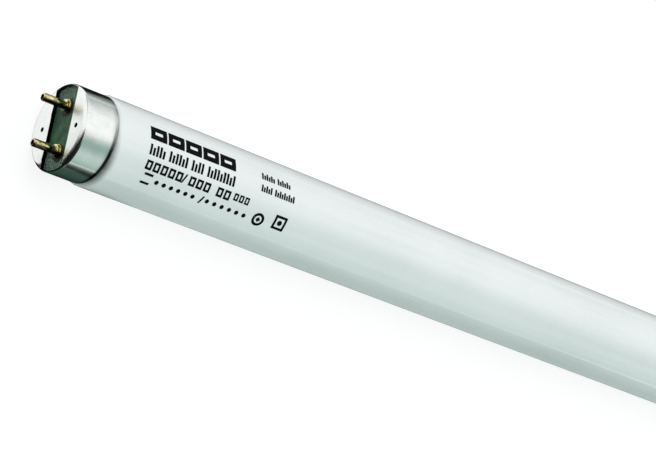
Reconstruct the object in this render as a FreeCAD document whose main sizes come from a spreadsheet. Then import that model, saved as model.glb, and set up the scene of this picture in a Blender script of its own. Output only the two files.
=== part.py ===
# A straight fluorescent lamp with a two-pin cap on each end.
# Millimetres. The origin is the lamp's centre, X runs along the lamp from the left cap to the
# right one, Y runs from pin b to pin a, and Z is up.
import FreeCAD, Part
import math
import os
import Sketcher

vector = FreeCAD.Vector
hair = 1e-6  # mm3; volumes closer than this count as equal

# Driving sizes: alias, value, what it measures
sizes = [
    ("lamp_length", "437.4", "from cap face to cap face"),
    ("glass_diameter", "26.0", "outside of the glass tube"),
    ("shoulder_length", "2.4", "along the lamp, from full diameter to neck"),
    ("rim_gap", "0.4", "glass shoulder to the shell, level with the shell's open rim"),
    ("neck_gap", "1.7", "insulator to the end of the glass neck"),
    ("funnel_length", "8.0", "end of the glass neck to the floor of the stem's funnel"),
    ("mouth_gap", "0.85", "lead wire, in line with its pin, to the funnel's mouth"),
    ("exhaust_diameter", "3.6", "sealed-off exhaust tube in the funnel"),
    ("exhaust_gap", "1.2", "insulator to the tip of the exhaust tube"),
    ("stem_gap", "0.9", "at the funnel's floor, exhaust tube to wire and wire to funnel wall"),
    ("cap_step", "0.5", "cap shell's side inside the glass tube's outside"),
    ("cap_length", "10.4", "cap face to the shell's open rim"),
    ("cap_sheet", "0.4", "thickness of the shell"),
    ("cap_edge_radius", "0.9", "outer round between the cap's face and side"),
    ("slot_width", "10.0", "slot across the cap's face"),
    ("slot_edge_radius", "0.25", "round on the slot's long edges"),
    ("plate_recess", "1.3", "cap face down to the insulator"),
    ("plate_thickness", "1.5", "insulator"),
    ("plate_side_gap", "0.1", "insulator to the shell's side, all round"),
    ("stake_inset", "2.8", "slot's edge to the middle of each stake"),
    ("stake_mouth_diameter", "1.4", "stake at the cap's face"),
    ("stake_tip_diameter", "0.8", "bottom of the punched hollow"),
    ("stake_depth", "1.7", "punched hollow below the cap's face"),
    ("stake_wall", "0.3", "metal round and under the punched hollow"),
    ("pin_spacing", "12.7", "between the two pins of one cap"),
    ("pin_diameter", "2.35", "straight part of a pin"),
    ("pin_length", "7.1", "a pin's tip beyond the cap's face"),
    ("pin_wall", "0.475", "wall round the hole in a pin's tip"),
    ("pin_rim", "0.075", "flat rim of that hole, inside the round of the tip"),
    ("pin_mouth_depth", "1.0", "depth of that hole, down to the crimped throat"),
    ("throat_length", "0.8", "crimped throat that grips the lead wire"),
    ("throat_taper", "0.5", "length of the cone on each side of the throat"),
    ("pin_bore_wall", "0.425", "wall of a pin behind the throat"),
    ("groove_step", "0.375", "floor of the foot's groove beyond the pin's straight part"),
    ("groove_length", "0.2", "that groove, along the pin"),
    ("collar_step", "0.2", "collar in front of the groove, beyond its floor"),
    ("collar_length", "0.55", "collar, along the pin"),
    ("flange_step", "0.4", "flange that bears on the insulator, beyond the groove's floor"),
    ("flange_length", "0.5", "flange, along the pin"),
    ("foot_edge_radius", "0.12", "round on the edges of collar and flange"),
    ("shank_step", "0.075", "pin inside the insulator, beyond its straight part"),
    ("rivet_flare", "0.55", "flared tail beyond that shank, behind the insulator"),
    ("rivet_head_height", "0.5", "height of that flare"),
    ("rivet_gap", "0.05", "pin to its hole in the insulator"),
    ("wire_diameter", "0.6", "lead-in wire"),
    ("wire_gap", "0.05", "wire to the crimped throat"),
    ("wire_root_length", "3.0", "a wire's straight part out of the glass"),
    ("wire_lead_length", "0.4", "a wire's straight part before it enters its pin"),
    ("cement_thickness", "0.8", "basing cement between the glass neck and the shell"),
    ("cement_front_inset", "1.4", "end of the glass neck to the front of the cement"),
    ("cement_back_inset", "1.2", "shell's open rim to the back of the cement"),
    ("bond_gap", "0.05", "cement to the glass and to the shell, and stake to the insulator"),
]

doc = FreeCAD.newDocument("lamp")
sheet = doc.addObject("Spreadsheet::Sheet", "Sizes")
for row, (alias, value, meaning) in enumerate(sizes, start=1):
    sheet.set(f"A{row}", alias)
    sheet.set(f"B{row}", value)
    sheet.set(f"C{row}", meaning)
    sheet.setAlias(f"B{row}", alias)
doc.recompute()


class Size:
    # A length in millimetres, kept with the sheet formula that gives it.
    def __init__(self, value, formula):
        self.value = value
        self.formula = formula

    def __add__(self, other):
        return Size(self.value + other.value, f"({self.formula} + {other.formula})")

    def __sub__(self, other):
        return Size(self.value - other.value, f"({self.formula} - {other.formula})")

    def __truediv__(self, factor):
        return Size(self.value / factor, f"{self.formula} / {factor}")


def size(alias):
    return Size(float(sheet.get(alias)), f"Sizes.{alias}")


def bend_radius(across, along):
    # Two equal tangent arcs that step sideways by across over the length along
    value = (across.value**2 + along.value**2) / (4 * across.value)
    squares = f"(({across.formula})^2 + ({along.formula})^2)"
    return Size(value, f"{squares} / (4 * ({across.formula}))")


def chord_half(radius, offset):
    # Half the chord of a circle, at this offset from its centre
    value = math.sqrt(radius.value**2 - offset.value**2)
    return Size(value, f"sqrt(({radius.formula})^2 - ({offset.formula})^2)")


def arc_run(radius, rise):
    # How far along its tangent an arc has come when it has risen by rise
    return chord_half(radius, radius - rise)


zero = Size(0.0, "0")
face_to_centre = size("lamp_length") / 2
glass_radius = size("glass_diameter") / 2
cap_radius = glass_radius - size("cap_step")
shell_bore_radius = cap_radius - size("cap_sheet")
cement_outer_radius = shell_bore_radius - size("bond_gap")
cement_inner_radius = cement_outer_radius - size("cement_thickness")
neck_radius = cement_inner_radius - size("bond_gap")
plate_back_depth = size("plate_recess") + size("plate_thickness")
neck_end_depth = plate_back_depth + size("neck_gap")
funnel_depth = neck_end_depth + size("funnel_length")
stake_offset = size("slot_width") / 2 + size("stake_inset")
pin_offset = size("pin_spacing") / 2
pin_radius = size("pin_diameter") / 2
rivet_shank_radius = pin_radius + size("shank_step")
wire_radius = size("wire_diameter") / 2
exhaust_radius = size("exhaust_diameter") / 2
wire_stem_offset = exhaust_radius + size("stem_gap") + wire_radius


def new_body(label):
    body = doc.addObject("PartDesign::Body", label)
    body.Label = label
    return body


def origin_plane(body, role):
    return next(feature for feature in body.Origin.OriginFeatures if feature.Role == role)


def new_sketch(body, name, role, lift=None):
    # lift moves the sketch along its plane's normal
    sketch = body.newObject("Sketcher::SketchObject", name)
    sketch.AttachmentSupport = [(origin_plane(body, role), "")]
    sketch.MapMode = "FlatFace"
    if lift is not None:
        sketch.setExpression("AttachmentOffset.Base.z", lift.formula)
    return sketch


def bind(sketch, kind, geometry, point, value):
    index = sketch.addConstraint(Sketcher.Constraint(kind, -1, 1, geometry, point, value.value))
    sketch.setExpression(f"Constraints[{index}]", value.formula)


def place_point(sketch, geometry, point, across, up):
    if across is zero and up is zero:
        sketch.addConstraint(Sketcher.Constraint("Coincident", geometry, point, -1, 1))
        return
    if across is zero:
        sketch.addConstraint(Sketcher.Constraint("PointOnObject", geometry, point, -2))
    else:
        bind(sketch, "DistanceX", geometry, point, across)
    if up is zero:
        sketch.addConstraint(Sketcher.Constraint("PointOnObject", geometry, point, -1))
    else:
        bind(sketch, "DistanceY", geometry, point, up)


def arc_between(start, end, radius, turn):
    # The short arc from start to end. turn is "left" or "right", as one walks along it.
    half = (end - start) / 2
    rise = math.sqrt(max(radius**2 - half.Length**2, 0.0))
    left = vector(-half.y, half.x, 0).normalize()
    centre = start + half + left * (rise if turn == "left" else -rise)
    first, last = (start, end) if turn == "left" else (end, start)
    angles = [math.atan2(point.y - centre.y, point.x - centre.x) for point in (first, last)]
    if angles[1] < angles[0]:
        angles[1] += 2 * math.pi
    circle = Part.Circle(centre, vector(0, 0, 1), radius)
    return Part.ArcOfCircle(circle, angles[0], angles[1])


def draw(sketch, corners, closed=True):
    # Each corner is (across, up), or (across, up, radius, turn) where an arc arrives at it.
    points = [vector(corner[0].value, corner[1].value, 0) for corner in corners]
    count = len(corners)
    ends = []
    for number in range(count if closed else count - 1):
        start, end = points[number], points[(number + 1) % count]
        arrival = corners[(number + 1) % count]
        if len(arrival) == 2:
            geometry = sketch.addGeometry(Part.LineSegment(start, end))
            ends.append((geometry, 1, 2))
            continue
        radius, turn = arrival[2:]
        geometry = sketch.addGeometry(arc_between(start, end, radius.value, turn))
        ends.append((geometry, 1, 2) if turn == "left" else (geometry, 2, 1))
        index = sketch.addConstraint(Sketcher.Constraint("Radius", geometry, radius.value))
        sketch.setExpression(f"Constraints[{index}]", radius.formula)
    for number, (geometry, first, last) in enumerate(ends):
        place_point(sketch, geometry, first, *corners[number][:2])
        if number + 1 < len(ends):
            following, following_first, _ = ends[number + 1]
            sketch.addConstraint(
                Sketcher.Constraint("Coincident", geometry, last, following, following_first)
            )
    geometry, _, last = ends[-1]
    if closed:
        sketch.addConstraint(Sketcher.Constraint("Coincident", geometry, last, ends[0][0], ends[0][1]))
    else:
        place_point(sketch, geometry, last, *corners[-1][:2])


def draw_circle(sketch, across, up, radius):
    centre = vector(across.value, up.value, 0)
    geometry = sketch.addGeometry(Part.Circle(centre, vector(0, 0, 1), radius.value))
    place_point(sketch, geometry, 3, across, up)
    index = sketch.addConstraint(Sketcher.Constraint("Radius", geometry, radius.value))
    sketch.setExpression(f"Constraints[{index}]", radius.formula)


def draw_upright_axis(sketch, across, height):
    # A construction line that a feature off the body's own axis turns about
    line = Part.LineSegment(vector(across.value, 0, 0), vector(across.value, height.value, 0))
    geometry = sketch.addGeometry(line, True)
    place_point(sketch, geometry, 1, across, zero)
    place_point(sketch, geometry, 2, across, height)


def revolve(body, sketch, kind="Revolution", axis="V_Axis"):
    feature = body.newObject(f"PartDesign::{kind}", f"{sketch.Name}{kind}")
    feature.Profile = sketch
    feature.ReferenceAxis = (sketch, [axis])
    feature.Angle = 360
    return feature


def mirror(body, original, role):
    feature = body.newObject("PartDesign::Mirrored", f"{original.Name}Mirrored")
    feature.Originals = [original]
    feature.MirrorPlane = (origin_plane(body, role), [""])
    body.Tip = feature


def check_cut(body, before, what):
    doc.recompute()
    if body.Shape.Volume > before - hair:
        raise RuntimeError(f"{body.Label}: {what} cut nothing")


def place_at_end(body, end, along, across=None, half_turn=False):
    # The body's Z points into the lamp. along is its origin's distance from the lamp's centre,
    # and half_turn turns the body about its own Z to the other side of the lamp.
    into_lamp = FreeCAD.Rotation(vector(0, 1, 0), 90 if end == "left" else -90)
    about_itself = FreeCAD.Rotation(vector(0, 0, 1), 180 if half_turn else 0)
    body.Placement = FreeCAD.Placement(vector(0, 0, 0), into_lamp.multiply(about_itself))
    sign = "-" if end == "left" else ""
    body.setExpression("Placement.Base.x", f"{sign}({along.formula})")
    if across is not None:
        body.setExpression("Placement.Base.y", across.formula)


def make_glass_tube():
    # One sealed piece: straight wall, necked ends and, in each end, the stem's funnel with the
    # sealed-off exhaust tube standing in it. Z is the lamp's axis here.
    body = new_body("glass_tube")
    half_profile = new_sketch(body, "GlassHalf", "XZ_Plane")
    shoulder_radius = bend_radius(glass_radius - neck_radius, size("shoulder_length"))
    rise_at_rim = shell_bore_radius - size("rim_gap") - neck_radius
    shell_rim = face_to_centre - size("cap_length")
    shoulder_end = shell_rim + arc_run(shoulder_radius, rise_at_rim)
    shoulder_start = shoulder_end - size("shoulder_length")
    neck_end = face_to_centre - neck_end_depth
    mouth_radius = pin_offset + wire_radius + size("mouth_gap")
    lip = (neck_radius - mouth_radius) / 3
    end_round = neck_radius - mouth_radius - lip
    funnel_floor = face_to_centre - funnel_depth
    funnel_floor_radius = wire_stem_offset + wire_radius + size("stem_gap")
    exhaust_tip = face_to_centre - plate_back_depth - size("exhaust_gap")
    draw(
        half_profile,
        [
            (zero, zero),
            (glass_radius, zero),
            (glass_radius, shoulder_start),
            (
                (glass_radius + neck_radius) / 2,
                (shoulder_start + shoulder_end) / 2,
                shoulder_radius,
                "left",
            ),
            (neck_radius, shoulder_end, shoulder_radius, "right"),
            (neck_radius, neck_end - end_round),
            (neck_radius - end_round, neck_end, end_round, "left"),
            (mouth_radius, neck_end - lip, lip, "left"),
            (funnel_floor_radius, funnel_floor),
            (exhaust_radius, funnel_floor),
            (exhaust_radius, exhaust_tip - exhaust_radius),
            (zero, exhaust_tip, exhaust_radius, "left"),
        ],
    )
    half = revolve(body, half_profile)
    mirror(body, half, "XY_Plane")
    body.Placement = FreeCAD.Placement(vector(0, 0, 0), FreeCAD.Rotation(vector(0, 1, 0), 90))


def draw_stake(sketch, mouth_radius, tip_radius, depth):
    # Half section of a cone that narrows from the cap's face into the lamp
    draw_upright_axis(sketch, stake_offset, depth)
    draw(
        sketch,
        [
            (stake_offset, zero),
            (stake_offset + mouth_radius, zero),
            (stake_offset + tip_radius, depth),
            (stake_offset, depth),
        ],
    )


def draw_stake_outside(sketch, gap):
    # The metal of a stake as it stands in the insulator, this far outside the metal
    around = size("stake_wall") + gap
    mouth_radius = size("stake_mouth_diameter") / 2 + around
    tip_radius = size("stake_tip_diameter") / 2 + around
    draw_stake(sketch, mouth_radius, tip_radius, size("stake_depth") + around)


def make_cap_shell(end):
    # A drawn cup. Its origin is the centre of its outer face, and Z points into the lamp.
    body = new_body(f"{end}_cap_shell")
    metal = size("cap_sheet")
    outer_round = size("cap_edge_radius")
    inner_round = outer_round - metal
    wall = new_sketch(body, f"{end}CapWall", "XZ_Plane")
    draw(
        wall,
        [
            (zero, zero),
            (cap_radius - outer_round, zero),
            (cap_radius, outer_round, outer_round, "left"),
            (cap_radius, size("cap_length")),
            (shell_bore_radius, size("cap_length")),
            (shell_bore_radius, outer_round),
            (shell_bore_radius - inner_round, metal, inner_round, "right"),
            (zero, metal),
        ],
    )
    revolve(body, wall)
    doc.recompute()

    # The slot runs right across the face, so that only the side wall closes its two ends.
    half_width = size("slot_width") / 2
    slot_end = chord_half(shell_bore_radius, half_width)
    slot = new_sketch(body, f"{end}CapSlot", "XY_Plane")
    draw(
        slot,
        [
            (half_width, zero - slot_end, shell_bore_radius, "left"),
            (half_width, slot_end),
            (zero - half_width, slot_end, shell_bore_radius, "left"),
            (zero - half_width, zero - slot_end),
        ],
    )
    whole = body.Shape.Volume
    pocket = body.newObject("PartDesign::Pocket", f"{end}CapSlotPocket")
    pocket.Profile = slot
    pocket.setExpression("Length", (outer_round + metal).formula)
    pocket.Reversed = True
    check_cut(body, whole, "the slot")

    # The slot's long edges are turned in, and the insulator seats on them.
    lip = new_sketch(body, f"{end}CapLip", "XY_Plane", lift=metal)
    lip_side = half_width + metal
    lip_end = chord_half(shell_bore_radius, lip_side)
    draw(
        lip,
        [
            (half_width, zero - slot_end, shell_bore_radius, "right"),
            (half_width, slot_end),
            (lip_side, lip_end, shell_bore_radius, "right"),
            (lip_side, zero - lip_end),
        ],
    )
    turned_in = body.newObject("PartDesign::Pad", f"{end}CapLipPad")
    turned_in.Profile = lip
    turned_in.setExpression("Length", (size("plate_recess") - metal).formula)
    doc.recompute()
    mirror(body, turned_in, "YZ_Plane")
    doc.recompute()

    # Outside, those edges are rounded: what lies beyond the round is cut away along them.
    edge_round = size("slot_edge_radius")
    corner = new_sketch(body, f"{end}CapSlotEdge", "XZ_Plane")
    draw(
        corner,
        [
            (half_width, zero),
            (half_width + edge_round, zero),
            (half_width, edge_round, edge_round, "right"),
        ],
    )
    slotted = body.Shape.Volume
    rounded = body.newObject("PartDesign::Pocket", f"{end}CapSlotEdgePocket")
    rounded.Profile = corner
    rounded.SideType = "Symmetric"
    edge_half = chord_half(shell_bore_radius, half_width + edge_round)
    rounded.setExpression("Length", (edge_half + edge_half).formula)
    mirror(body, rounded, "YZ_Plane")
    check_cut(body, slotted, "the slot's edge rounds")

    # Two punched stakes carry the shell's metal into the insulator.
    stake = new_sketch(body, f"{end}CapStake", "XZ_Plane")
    draw_stake_outside(stake, zero)
    mirror(body, revolve(body, stake, axis="Axis0"), "YZ_Plane")
    doc.recompute()
    hollow = new_sketch(body, f"{end}CapStakeHollow", "XZ_Plane")
    mouth_radius = size("stake_mouth_diameter") / 2
    draw_stake(hollow, mouth_radius, size("stake_tip_diameter") / 2, size("stake_depth"))
    staked = body.Shape.Volume
    mirror(body, revolve(body, hollow, "Groove", "Axis0"), "YZ_Plane")
    check_cut(body, staked, "the stakes' hollows")
    place_at_end(body, end, face_to_centre)


def make_insulator(end):
    # A laminate disc behind the cap's face, with the two pins riveted through it
    body = new_body(f"{end}_insulator")
    plate_radius = shell_bore_radius - size("plate_side_gap")
    disc = new_sketch(body, f"{end}Plate", "XZ_Plane")
    draw(
        disc,
        [
            (zero, size("plate_recess")),
            (plate_radius, size("plate_recess")),
            (plate_radius, plate_back_depth),
            (zero, plate_back_depth),
        ],
    )
    revolve(body, disc)
    doc.recompute()

    hole = new_sketch(body, f"{end}PlateHole", "XY_Plane")
    draw_circle(hole, zero, pin_offset, rivet_shank_radius + size("rivet_gap"))
    whole = body.Shape.Volume
    drilled = body.newObject("PartDesign::Pocket", f"{end}PlateHolePocket")
    drilled.Profile = hole
    drilled.setExpression("Length", (plate_back_depth + size("plate_thickness")).formula)
    drilled.Reversed = True
    mirror(body, drilled, "XZ_Plane")
    check_cut(body, whole, "the pins' holes")

    stake = new_sketch(body, f"{end}PlateStake", "XZ_Plane")
    draw_stake_outside(stake, size("bond_gap"))
    drilled_volume = body.Shape.Volume
    mirror(body, revolve(body, stake, "Groove", "Axis0"), "YZ_Plane")
    check_cut(body, drilled_volume, "the stakes' holes")
    place_at_end(body, end, face_to_centre)


def make_pin(end, letter):
    # A hollow brass pin. Its origin is its tip, and Z points into the lamp.
    body = new_body(f"{end}_pin_{letter}")
    profile = new_sketch(body, f"{end}Pin{letter}Section", "XZ_Plane")
    mouth = pin_radius - size("pin_wall")
    tip_round = size("pin_wall") - size("pin_rim")
    groove = pin_radius + size("groove_step")
    collar = groove + size("collar_step")
    flange = groove + size("flange_step")
    edge_round = size("foot_edge_radius")
    bore = pin_radius - size("pin_bore_wall")
    throat = wire_radius + size("wire_gap")
    plate_front = size("pin_length") + size("plate_recess")
    plate_back = plate_front + size("plate_thickness")
    tail = plate_back + size("rivet_head_height")
    flange_top = plate_front - size("flange_length")
    groove_top = flange_top - size("groove_length")
    collar_top = groove_top - size("collar_length")
    throat_start = size("pin_mouth_depth") + size("throat_taper")
    throat_end = throat_start + size("throat_length")
    draw(
        profile,
        [
            (mouth, zero),
            (pin_radius - tip_round, zero),
            (pin_radius, tip_round, tip_round, "left"),
            (pin_radius, collar_top),
            (collar - edge_round, collar_top),
            (collar, collar_top + edge_round, edge_round, "left"),
            (collar, groove_top - edge_round),
            (collar - edge_round, groove_top, edge_round, "left"),
            (groove, groove_top),
            (groove, flange_top),
            (flange - edge_round, flange_top),
            (flange, flange_top + edge_round, edge_round, "left"),
            (flange, plate_front),
            (rivet_shank_radius, plate_front),
            (rivet_shank_radius, plate_back),
            (rivet_shank_radius + size("rivet_flare"), plate_back),
            (rivet_shank_radius, tail),
            (bore, tail),
            (bore, throat_end + size("throat_taper")),
            (throat, throat_end),
            (throat, throat_start),
            (mouth, size("pin_mouth_depth")),
        ],
    )
    revolve(body, profile)
    side = pin_offset if letter == "a" else zero - pin_offset
    place_at_end(body, end, face_to_centre + size("pin_length"), side)


def make_lead_wire(end, letter):
    # Straight out of the glass, one easy double bend, then straight through the pin's hollow.
    # The origin lies on the lamp's axis, level with the pin's tip, and Z points into the lamp.
    body = new_body(f"{end}_lead_wire_{letter}")
    pin_length = size("pin_length")
    glass = pin_length + funnel_depth
    pin_tail = pin_length + plate_back_depth + size("rivet_head_height")
    bend_start = glass - size("wire_root_length")
    bend_end = pin_tail + size("wire_lead_length")
    radius = bend_radius(pin_offset - wire_stem_offset, bend_start - bend_end)
    path = new_sketch(body, f"{end}Wire{letter}Path", "YZ_Plane")
    draw(
        path,
        [
            (wire_stem_offset, glass),
            (wire_stem_offset, bend_start),
            ((wire_stem_offset + pin_offset) / 2, (bend_start + bend_end) / 2, radius, "left"),
            (pin_offset, bend_end, radius, "right"),
            (pin_offset, size("pin_mouth_depth")),
        ],
        closed=False,
    )
    section = new_sketch(body, f"{end}Wire{letter}Section", "XY_Plane", lift=size("pin_mouth_depth"))
    draw_circle(section, zero, pin_offset, wire_radius)
    pipe = body.newObject("PartDesign::AdditivePipe", f"{end}Wire{letter}Pipe")
    pipe.Profile = section
    pipe.Spine = (path, [f"Edge{number}" for number in range(1, 5)])
    body.Tip = pipe
    place_at_end(body, end, face_to_centre + pin_length, half_turn=letter == "b")


def make_basing_cement(end):
    # A ring between the glass neck and the shell
    body = new_body(f"{end}_basing_cement")
    ring = new_sketch(body, f"{end}CementSection", "XZ_Plane")
    front = neck_end_depth + size("cement_front_inset")
    back = size("cap_length") - size("cement_back_inset")
    draw(
        ring,
        [
            (cement_inner_radius, front),
            (cement_outer_radius, front),
            (cement_outer_radius, back),
            (cement_inner_radius, back),
        ],
    )
    revolve(body, ring)
    place_at_end(body, end, face_to_centre)


make_glass_tube()
for end in ("left", "right"):
    make_cap_shell(end)
    make_insulator(end)
    make_basing_cement(end)
    for letter in ("a", "b"):
        make_pin(end, letter)
        make_lead_wire(end, letter)
doc.recompute()

for thing in doc.Objects:
    if "Invalid" in thing.State or "Error" in thing.State:
        raise RuntimeError(f"{thing.Label} failed: {thing.State}")
bodies = [thing for thing in doc.Objects if thing.TypeId == "PartDesign::Body"]
for body in bodies:
    if body.Shape.isNull() or not body.Shape.isValid():
        raise RuntimeError(f"{body.Label} has no valid shape")

os.makedirs("parts", exist_ok=True)
for body in bodies:
    body.Shape.exportStep(f"parts/{body.Label}.step")
    print(f"{body.Label}: {len(body.Shape.Solids)} solid, {body.Shape.Volume:.2f} mm3")
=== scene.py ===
import math

import bmesh
import bpy
from mathutils import Matrix, Vector


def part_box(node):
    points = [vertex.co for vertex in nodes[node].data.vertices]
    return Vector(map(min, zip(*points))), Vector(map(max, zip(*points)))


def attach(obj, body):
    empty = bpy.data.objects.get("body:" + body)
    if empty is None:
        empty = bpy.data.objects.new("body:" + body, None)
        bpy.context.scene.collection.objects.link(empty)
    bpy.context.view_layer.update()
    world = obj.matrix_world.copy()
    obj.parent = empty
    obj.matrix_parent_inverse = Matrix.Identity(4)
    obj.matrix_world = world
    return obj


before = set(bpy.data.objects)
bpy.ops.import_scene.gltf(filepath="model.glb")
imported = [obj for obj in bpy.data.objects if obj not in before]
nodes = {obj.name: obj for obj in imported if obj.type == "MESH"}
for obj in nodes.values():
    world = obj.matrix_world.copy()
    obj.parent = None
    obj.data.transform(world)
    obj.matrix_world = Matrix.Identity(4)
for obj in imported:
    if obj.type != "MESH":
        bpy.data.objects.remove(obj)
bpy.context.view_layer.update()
print("frame loaded:", len(nodes), "CAD nodes")

mm = 0.001
# a Mix node has one set of sockets for each kind of value, so its colours go by number
colourA, colourB, colourResult = 6, 7, 2

tubeLow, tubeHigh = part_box("glass_tube")
glassRadius = tubeHigh.z
floorHeight = tubeLow.z  # the lamp lies on the floor on its glass
capLow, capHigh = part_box("left_cap_shell")
faceAt = -capLow.x  # both caps' faces, from the lamp's middle
rimAt = -capHigh.x  # both shells' open rims
pinLow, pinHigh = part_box("left_pin_a")
pinAxis = (pinLow.y + pinHigh.y) / 2  # both pins, to each side of the lamp's axis


def linearColour(hexCode):
    # sRGB hex to the linear values that the shaders take
    def toLinear(level):
        return level / 12.92 if level <= 0.04045 else ((level + 0.055) / 1.055) ** 2.4

    return tuple(toLinear(int(hexCode[i : i + 2], 16) / 255) for i in (1, 3, 5)) + (1.0,)


def perMetre(sizes):
    # how often a pattern of these sizes repeats
    return [1 / size for size in sizes]


def addNode(tree, kind, settings={}, inputs={}, stops=()):
    # an input that is given a socket is linked to it, and any other gets the value;
    # stops are a colour ramp's positions and hex colours, in order
    node = tree.nodes.new(kind)
    for name, value in settings.items():
        setattr(node, name, value)
    for name, value in inputs.items():
        if isinstance(value, bpy.types.NodeSocket):
            tree.links.new(value, node.inputs[name])
        else:
            node.inputs[name].default_value = value
    for number, (position, hexCode) in enumerate(stops):
        elements = node.color_ramp.elements
        if number == 0:
            stop = elements[0]
        elif number == len(stops) - 1:
            stop = elements[-1]
        else:
            stop = elements.new(position)
        stop.position, stop.color = position, linearColour(hexCode)
    return node


def emptyMaterial(name):
    material = bpy.data.materials.new(name)
    material.use_nodes = True
    material.node_tree.nodes.clear()
    return material, material.node_tree


def finishMaterial(tree, shader):
    addNode(tree, "ShaderNodeOutputMaterial", inputs={"Surface": shader.outputs[0]})


glass = {
    "cloud": {"Scale": 1 / (24 * mm), "Detail": 3.0},
    "grain": {"Scale": 1 / (0.45 * mm), "Detail": 2.0},
    "grainShare": 0.25,
    "runSize": (90 * mm, 2.2 * mm, 2.2 * mm),
    "runs": {"Scale": 1.0, "Detail": 2.0},
    "runShare": 0.4,
    "coating": [(0.36, "#eaecef"), (0.5, "#f2f3f6"), (0.64, "#f6f6f9")],
    # the dark of the bare glass, which also serves as painted shade where the band is tilted wider
    "bareAndShade": "#0b110e",
    "edgeDepth": 3.5 * mm,  # on the lamp's axis, how far inside the cap the coating ends
    "shadeTilt": (0, -0.215, 0.17),  # the band is this much askew, reaching further out on the side painted as the shoulder's shade
    "edgeWander": 0.5 * mm,
    "wipe": {"Scale": 1 / (4 * mm), "Detail": 4.0},
    "edgeFade": 2.6 * mm,  # the coating thins out over this width
    "edgeFall": 1.25,
    "drawLineSize": (140 * mm, 1.1 * mm, 1.1 * mm),
    "drawLines": {"Strength": 0.5, "Distance": 0.004 * mm},
    "skin": {
        "Roughness": 0.7,
        "Specular IOR Level": 0.1,
        "Coat Weight": 1.0,
        "Coat Roughness": 0.06,
        "Coat IOR": 1.85,  # above the glass's own 1.52, as both of its skins mirror
    },
}


def makeCoatedGlass():
    # Soda-lime glass drawn into tube, with a white powder coating rinsed through and baked
    # on its inside: a matt white with soft clouds and lengthwise runs, seen through a clear
    # gloss with faint draw lines. The coating is wiped off the necks, and the bare glass there
    # shows the dark inside; the band is tilted to reach further out on one side, as painted
    # shade of the shoulder beside the cap's rim.
    material, tree = emptyMaterial("coatedGlass")
    place = addNode(tree, "ShaderNodeTexCoord").outputs["Object"]
    cloud = addNode(tree, "ShaderNodeTexNoise", inputs={"Vector": place, **glass["cloud"]})
    grain = addNode(tree, "ShaderNodeTexNoise", inputs={"Vector": place, **glass["grain"]})
    along = addNode(
        tree, "ShaderNodeMapping", inputs={"Vector": place, "Scale": perMetre(glass["runSize"])}
    )
    runs = addNode(tree, "ShaderNodeTexNoise", inputs={"Vector": along.outputs[0], **glass["runs"]})
    cloudRuns = addNode(
        tree,
        "ShaderNodeMix",
        {"data_type": "FLOAT"},
        {"Factor": glass["runShare"], "A": cloud.outputs["Fac"], "B": runs.outputs["Fac"]},
    )
    depth = addNode(
        tree,
        "ShaderNodeMix",
        {"data_type": "FLOAT"},
        {"Factor": glass["grainShare"], "A": cloudRuns.outputs["Result"], "B": grain.outputs["Fac"]},
    )
    coating = addNode(
        tree, "ShaderNodeValToRGB", inputs={"Fac": depth.outputs["Result"]}, stops=glass["coating"]
    )

    # how far a point lies beyond the coating's edge, tilted to paint shade on one side
    parts = addNode(tree, "ShaderNodeSeparateXYZ", inputs={"Vector": place})
    fromMiddle = addNode(tree, "ShaderNodeMath", {"operation": "ABSOLUTE"}, {0: parts.outputs["X"]})
    tilt = addNode(
        tree, "ShaderNodeVectorMath", {"operation": "DOT_PRODUCT"}, {0: place, 1: glass["shadeTilt"]}
    )
    wipe = addNode(tree, "ShaderNodeTexNoise", inputs={"Vector": place, **glass["wipe"]})
    wander = addNode(
        tree,
        "ShaderNodeMath",
        {"operation": "MULTIPLY_ADD"},
        {0: wipe.outputs["Fac"], 1: glass["edgeWander"], 2: tilt.outputs["Value"]},
    )
    reach = addNode(
        tree, "ShaderNodeMath", {"operation": "ADD"}, {0: fromMiddle.outputs[0], 1: wander.outputs[0]}
    )
    edge = rimAt + glass["edgeDepth"] + glass["edgeWander"] / 2
    bareAndShade = addNode(
        tree,
        "ShaderNodeMapRange",
        inputs={"Value": reach.outputs[0], "From Min": edge - glass["edgeFade"], "From Max": edge},
    )
    thinned = addNode(
        tree, "ShaderNodeMath", {"operation": "POWER"}, {0: bareAndShade.outputs[0], 1: glass["edgeFall"]}
    )
    # bare glass showing the dark inside, with painted shade where the band reaches further
    colour = addNode(
        tree,
        "ShaderNodeMix",
        {"data_type": "RGBA"},
        {
            "Factor": thinned.outputs[0],
            colourA: coating.outputs["Color"],
            colourB: linearColour(glass["bareAndShade"]),
        },
    )

    drawn = addNode(
        tree, "ShaderNodeMapping", inputs={"Vector": place, "Scale": perMetre(glass["drawLineSize"])}
    )
    lines = addNode(tree, "ShaderNodeTexNoise", inputs={"Vector": drawn.outputs[0], "Scale": 1.0})
    gloss = addNode(
        tree, "ShaderNodeBump", inputs={"Height": lines.outputs["Fac"], **glass["drawLines"]}
    )
    shader = addNode(
        tree,
        "ShaderNodeBsdfPrincipled",
        inputs={
            "Base Color": colour.outputs[colourResult],
            "Coat Normal": gloss.outputs[0],
            **glass["skin"],
        },
    )
    finishMaterial(tree, shader)
    return material


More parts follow.
